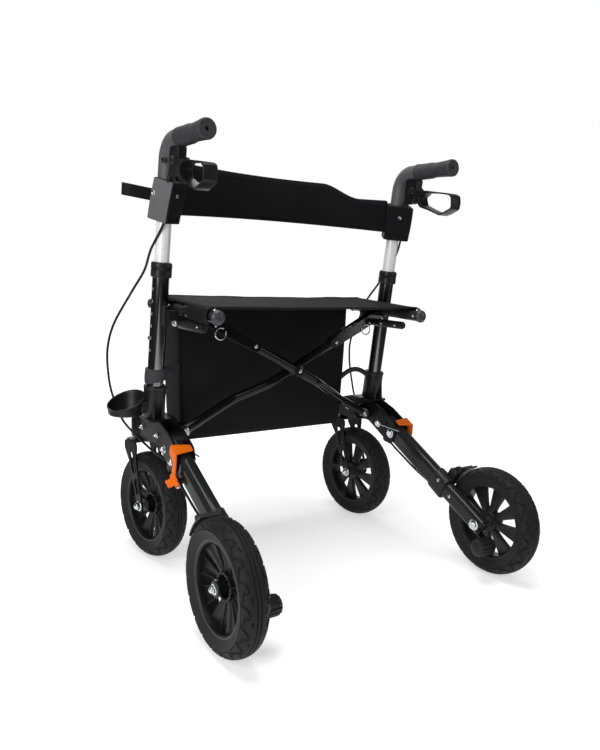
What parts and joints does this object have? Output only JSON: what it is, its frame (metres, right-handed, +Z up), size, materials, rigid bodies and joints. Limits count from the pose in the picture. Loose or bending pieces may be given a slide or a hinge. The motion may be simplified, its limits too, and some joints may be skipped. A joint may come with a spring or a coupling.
{
  "type": "all terrain rollator",
  "caption": "Wheeled walking frame with a folding cross frame, sling seat, backrest band, height-adjustable brake handles, swivel casters and folding rear legs.",
  "frame": {"origin": "on the floor, midway between the front and rear axles and between the two sides", "axes": "+X to the user's right, +Y forward, +Z up"},
  "size_m": [0.7429, 0.6647, 0.8846],
  "materials": {
    "frame_black": "gloss black powder coat",
    "plastic_black": "satin moulded plastic",
    "plastic_graphite": "satin dark grey moulded plastic",
    "bright_tube": "fine ridged bright anodised",
    "zinc": "zinc plated",
    "grip_rubber": "matt ribbed",
    "rim_plastic": "semi matt moulded",
    "tyre_rubber": "matt with moulded tread",
    "latch_orange": "satin orange coat",
    "cable_black": "smooth",
    "cloth_black": "plain weave"
  },
  "bodies": {
    "left_frame": {"left_upright": "frame_black", "left_collar": "plastic_black", "left_frame_bracket": "frame_black", "left_foot_socket": "plastic_black", "left_frame_bolts": "zinc", "left_seat_saddle": "plastic_black", "left_upper_cable": "cable_black", "cane_cup": "plastic_graphite", "bag": "cloth_black"},
    "right_frame": {"right_upright": "frame_black", "right_collar": "plastic_black", "right_frame_bracket": "frame_black", "right_foot_socket": "plastic_black", "right_frame_bolts": "zinc", "right_seat_saddle": "plastic_black", "right_upper_cable": "cable_black"},
    "left_cross": {"left_cross_tube": "frame_black"},
    "right_cross": {"right_cross_tube": "frame_black"},
    "left_rail": {"left_seat_rail": "plastic_graphite", "seat_fabric": "cloth_black"},
    "right_rail": {"right_seat_rail": "plastic_graphite"},
    "left_handle": {"left_handle_tube": "bright_tube", "left_handle_post": "plastic_graphite", "left_grip": "grip_rubber", "backrest": "cloth_black"},
    "left_button": {"left_height_button": "zinc"},
    "left_lever": {"left_brake_lever": "plastic_black"},
    "left_leg": {"left_rear_leg": "frame_black", "left_brake_guard": "plastic_graphite", "left_kerb_pedal": "grip_rubber", "left_rear_axle": "zinc", "left_lower_cable": "cable_black"},
    "left_shoe": {"left_brake_shoe": "plastic_black"},
    "left_rear_wheel": {"left_rear_rim": "rim_plastic", "left_rear_tyre": "tyre_rubber"},
    "left_latch": {"left_latch_lever": "latch_orange"},
    "left_bail": {"left_latch_wire": "zinc"},
    "left_caster": {"left_caster_fork": "frame_black", "left_front_axle": "zinc"},
    "left_front_wheel": {"left_front_rim": "rim_plastic", "left_front_tyre": "tyre_rubber"},
    "right_handle": {"right_handle_tube": "bright_tube", "right_handle_post": "plastic_graphite", "right_grip": "grip_rubber"},
    "right_button": {"right_height_button": "zinc"},
    "right_lever": {"right_brake_lever": "plastic_black"},
    "right_leg": {"right_rear_leg": "frame_black", "right_brake_guard": "plastic_graphite", "right_kerb_pedal": "grip_rubber", "right_rear_axle": "zinc", "right_lower_cable": "cable_black"},
    "right_shoe": {"right_brake_shoe": "plastic_black"},
    "right_rear_wheel": {"right_rear_rim": "rim_plastic", "right_rear_tyre": "tyre_rubber"},
    "right_latch": {"right_latch_lever": "latch_orange"},
    "right_bail": {"right_latch_wire": "zinc"},
    "right_caster": {"right_caster_fork": "frame_black", "right_front_axle": "zinc"},
    "right_front_wheel": {"right_front_rim": "rim_plastic", "right_front_tyre": "tyre_rubber"}
  },
  "joints": [
    {"name": "fold", "type": "hinge", "parent": "left_frame", "child": "left_cross", "pos_m": [-0.242, 0.14, 0.291], "axis": [0, -1, 0], "range_deg": [0, 46], "deforming": ["seat_fabric", "backrest", "bag"]},
    {"name": "fold_centre", "type": "hinge", "parent": "left_cross", "child": "right_cross", "pos_m": [0, 0.0915, 0.41601], "axis": [0, -1, 0], "range_deg": [-92, 0]},
    {"name": "fold_right", "type": "hinge", "parent": "right_cross", "child": "right_frame", "pos_m": [0.242, 0.14, 0.291], "axis": [0, -1, 0], "range_deg": [0, 46]},
    {"name": "fold_right_rail", "type": "hinge", "parent": "left_cross", "child": "right_rail", "pos_m": [0.253, 0.103, 0.5467], "axis": [0, -1, 0], "range_deg": [-46, 0]},
    {"name": "fold_left_rail", "type": "hinge", "parent": "right_cross", "child": "left_rail", "pos_m": [-0.253, 0.08, 0.5467], "axis": [0, -1, 0], "range_deg": [0, 46]},
    {"name": "left_height", "type": "slide", "parent": "left_frame", "child": "left_handle", "axis": [0, -0.1236, 0.9923], "range_m": [-0.05, 0.1], "deforming": ["left_upper_cable"]},
    {"name": "left_button_press", "type": "slide", "parent": "left_handle", "child": "left_button", "axis": [1, 0, 0], "range_m": [0, 0.006], "stiffness_N_per_m": 400, "springref_m": -0.004},
    {"name": "left_brake", "type": "hinge", "parent": "left_handle", "child": "left_lever", "pos_m": [-0.294, 0.05384, 0.82414], "axis": [-1, 0, 0], "range_deg": [0, 12], "stiffness_Nm_per_rad": 1.5, "springref_deg": -17.19},
    {"name": "left_shoe_swing", "type": "hinge", "parent": "left_leg", "child": "left_shoe", "pos_m": [-0.324, -0.13513, 0.20774], "axis": [-1, 0, 0], "range_deg": [0, 4.8]},
    {"name": "left_leg_fold", "type": "hinge", "parent": "left_frame", "child": "left_leg", "pos_m": [-0.28, 0.05515, 0.25392], "axis": [1, 0, 0], "range_deg": [0, 60], "deforming": ["left_lower_cable"]},
    {"name": "left_rear_roll", "type": "hinge", "parent": "left_leg", "child": "left_rear_wheel", "pos_m": [-0.324, -0.2175, 0.115], "axis": [1, 0, 0], "continuous": true},
    {"name": "left_latch_swing", "type": "hinge", "parent": "left_leg", "child": "left_latch", "pos_m": [-0.306, 0.0633, 0.2379], "axis": [0, -0.891, -0.454], "range_deg": [0, 60]},
    {"name": "left_bail_swing", "type": "hinge", "parent": "left_frame", "child": "left_bail", "pos_m": [-0.255, 0.10155, 0.26858], "axis": [-1, 0, 0], "range_deg": [0, 30]},
    {"name": "left_swivel", "type": "hinge", "parent": "left_frame", "child": "left_caster", "pos_m": [-0.284, 0.2635, 0.27], "axis": [0, 0, 1], "continuous": true},
    {"name": "left_front_roll", "type": "hinge", "parent": "left_caster", "child": "left_front_wheel", "pos_m": [-0.2776, 0.21795, 0.115], "axis": [0.9903, 0.1392, 0], "continuous": true},
    {"name": "right_height", "type": "slide", "parent": "right_frame", "child": "right_handle", "axis": [0, -0.1236, 0.9923], "range_m": [-0.05, 0.1], "deforming": ["right_upper_cable"]},
    {"name": "right_button_press", "type": "slide", "parent": "right_handle", "child": "right_button", "axis": [-1, 0, 0], "range_m": [0, 0.006], "stiffness_N_per_m": 400, "springref_m": -0.004},
    {"name": "right_brake", "type": "hinge", "parent": "right_handle", "child": "right_lever", "pos_m": [0.294, 0.05384, 0.82414], "axis": [-1, 0, 0], "range_deg": [0, 12], "stiffness_Nm_per_rad": 1.5, "springref_deg": -17.19},
    {"name": "right_shoe_swing", "type": "hinge", "parent": "right_leg", "child": "right_shoe", "pos_m": [0.324, -0.13513, 0.20774], "axis": [-1, 0, 0], "range_deg": [0, 4.8]},
    {"name": "right_leg_fold", "type": "hinge", "parent": "right_frame", "child": "right_leg", "pos_m": [0.28, 0.05515, 0.25392], "axis": [1, 0, 0], "range_deg": [0, 60], "deforming": ["right_lower_cable"]},
    {"name": "right_rear_roll", "type": "hinge", "parent": "right_leg", "child": "right_rear_wheel", "pos_m": [0.324, -0.2175, 0.115], "axis": [1, 0, 0], "continuous": true},
    {"name": "right_latch_swing", "type": "hinge", "parent": "right_leg", "child": "right_latch", "pos_m": [0.306, 0.0633, 0.2379], "axis": [0, 0.891, 0.454], "range_deg": [0, 60]},
    {"name": "right_bail_swing", "type": "hinge", "parent": "right_frame", "child": "right_bail", "pos_m": [0.255, 0.10155, 0.26858], "axis": [-1, 0, 0], "range_deg": [0, 30]},
    {"name": "right_swivel", "type": "hinge", "parent": "right_frame", "child": "right_caster", "pos_m": [0.284, 0.2635, 0.27], "axis": [0, 0, 1], "continuous": true},
    {"name": "right_front_roll", "type": "hinge", "parent": "right_caster", "child": "right_front_wheel", "pos_m": [0.28881, 0.21775, 0.115], "axis": [0.9945, 0.1045, 0], "continuous": true}
  ],
  "couplings": [
    {"joint": "fold_centre", "follows": "fold", "ratio": -2},
    {"joint": "fold_right", "follows": "fold", "ratio": 1},
    {"joint": "fold_right_rail", "follows": "fold", "ratio": -1},
    {"joint": "fold_left_rail", "follows": "fold", "ratio": 1},
    {"joint": "left_shoe_swing", "follows": "left_brake", "ratio": 0.4},
    {"joint": "left_bail_swing", "follows": "left_latch_swing", "ratio": 0.5},
    {"joint": "right_shoe_swing", "follows": "right_brake", "ratio": 0.4},
    {"joint": "right_bail_swing", "follows": "right_latch_swing", "ratio": 0.5}
  ]
}
